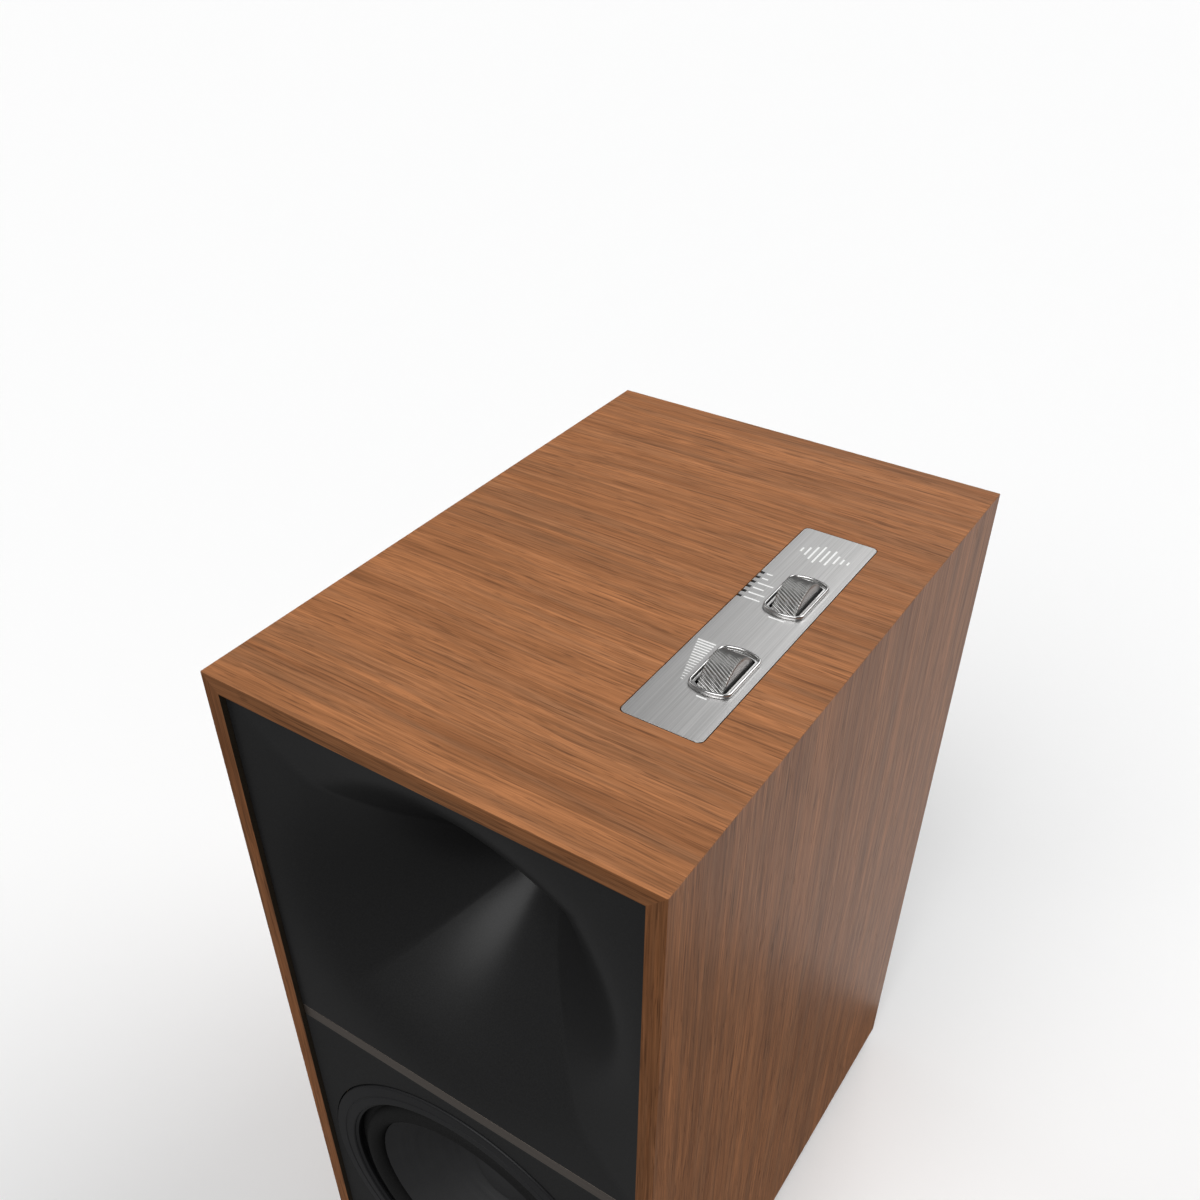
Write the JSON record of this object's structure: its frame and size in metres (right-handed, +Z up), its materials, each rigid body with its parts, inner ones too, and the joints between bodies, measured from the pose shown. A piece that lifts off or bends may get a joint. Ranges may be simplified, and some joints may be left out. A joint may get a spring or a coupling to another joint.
{
  "type": "loudspeaker",
  "caption": "Two-way powered loudspeaker in a walnut cabinet with a square horn, a woofer, top thumb wheels and a rear port and input panel.",
  "frame": {"origin": "centre of the feet's plane", "axes": "+X to the listener's right, +Y towards the back, +Z up"},
  "size_m": [0.237, 0.345, 0.4909],
  "materials": {
    "walnut": "satin oiled walnut veneer",
    "mdf": "raw MDF",
    "moulding": "satin moulded black",
    "textured_black": "fine textured black",
    "trim_metal": "satin warm grey",
    "brushed": "brushed",
    "chrome": "polished",
    "dark_metal": "knurled dark",
    "steel": "plated",
    "ferrite": "matt",
    "rubber": "matt",
    "pulp": "coated paper cone",
    "fabric": "resin-treated cloth",
    "titanium": "satin",
    "plastic": "matt moulded",
    "panel_black": "powder coat",
    "gold": "plated",
    "board_green": "solder mask",
    "aluminium": "extruded",
    "copper": "enamelled",
    "felt": "felt"
  },
  "bodies": {
    "cabinet": {"cabinet_top": "walnut", "cabinet_bottom": "walnut", "cabinet_left": "walnut", "cabinet_right": "walnut", "rear_panel": "textured_black", "baffle_board": "mdf", "shelf_brace": "mdf", "damping_pad": "felt", "foot_front_left": "rubber", "foot_front_right": "rubber", "foot_back_left": "rubber", "foot_back_right": "rubber", "horn": "moulding", "driver_front_plate": "steel", "driver_magnet": "ferrite", "driver_pole": "steel", "driver_phase_plug": "plastic", "driver_cover": "plastic", "trim_strip": "trim_metal", "woofer_fascia": "textured_black", "woofer_trim_ring": "plastic", "woofer_basket": "steel", "woofer_surround": "rubber", "woofer_spider": "fabric", "woofer_top_plate": "steel", "woofer_magnet": "ferrite", "woofer_yoke": "steel", "port_tube": "plastic", "source_bezel": "chrome", "source_encoder": "plastic", "volume_bezel": "chrome", "volume_encoder": "plastic", "control_plate": "brushed", "led_light_guide": "plastic", "control_tray": "plastic", "control_board": "board_green", "amp_panel": "panel_black", "amp_board": "board_green", "transformer": "copper", "heatsink": "aluminium", "mains_inlet": "plastic", "rocker_frame": "plastic", "line_jack_left": "gold", "line_jack_right": "gold", "sub_jack": "gold", "hdmi_socket": "steel", "optical_socket": "plastic", "usb_socket": "steel", "link_socket": "plastic", "ground_post": "steel"},
    "woofer_cone_body": {"woofer_cone": "pulp", "woofer_dust_cap": "pulp", "woofer_voice_coil": "copper"},
    "tweeter_diaphragm_body": {"driver_diaphragm": "titanium"},
    "source_wheel_body": {"source_wheel": "dark_metal"},
    "volume_wheel_body": {"volume_wheel": "dark_metal"},
    "power_rocker_body": {"power_rocker": "plastic"},
    "input_switch_body": {"input_switch_slider": "plastic"},
    "ground_nut_body": {"ground_nut": "gold"},
    "pairing_button_body": {"pairing_button": "plastic"}
  },
  "joints": [
    {"name": "source_wheel_turn", "type": "hinge", "parent": "cabinet", "child": "source_wheel_body", "pos_m": [0.072, 0.0214, 0.4756], "axis": [1, 0, 0], "continuous": true},
    {"name": "volume_wheel_turn", "type": "hinge", "parent": "cabinet", "child": "volume_wheel_body", "pos_m": [0.072, -0.0475, 0.4756], "axis": [1, 0, 0], "continuous": true},
    {"name": "woofer_travel", "type": "slide", "parent": "cabinet", "child": "woofer_cone_body", "axis": [0, 1, 0], "range_m": [-0.006, 0.006], "stiffness_N_per_m": 1200, "deforming": ["woofer_surround", "woofer_spider"]},
    {"name": "tweeter_travel", "type": "slide", "parent": "cabinet", "child": "tweeter_diaphragm_body", "axis": [0, 1, 0], "range_m": [-0.00025, 0.00025], "stiffness_N_per_m": 3000},
    {"name": "power_rocker_tilt", "type": "hinge", "parent": "cabinet", "child": "power_rocker_body", "pos_m": [-0.052, 0.156, 0.122], "axis": [1, 0, 0], "range_deg": [-16, 0]},
    {"name": "input_switch_slide", "type": "slide", "parent": "cabinet", "child": "input_switch_body", "axis": [0, 0, 1], "range_m": [0, 0.006]},
    {"name": "ground_nut_turn", "type": "hinge", "parent": "cabinet", "child": "ground_nut_body", "pos_m": [0.006, 0.16, 0.226], "axis": [0, 1, 0], "continuous": true},
    {"name": "pairing_button_press", "type": "slide", "parent": "cabinet", "child": "pairing_button_body", "axis": [0, -1, 0], "range_m": [0, 0.0008], "stiffness_N_per_m": 900}
  ]
}
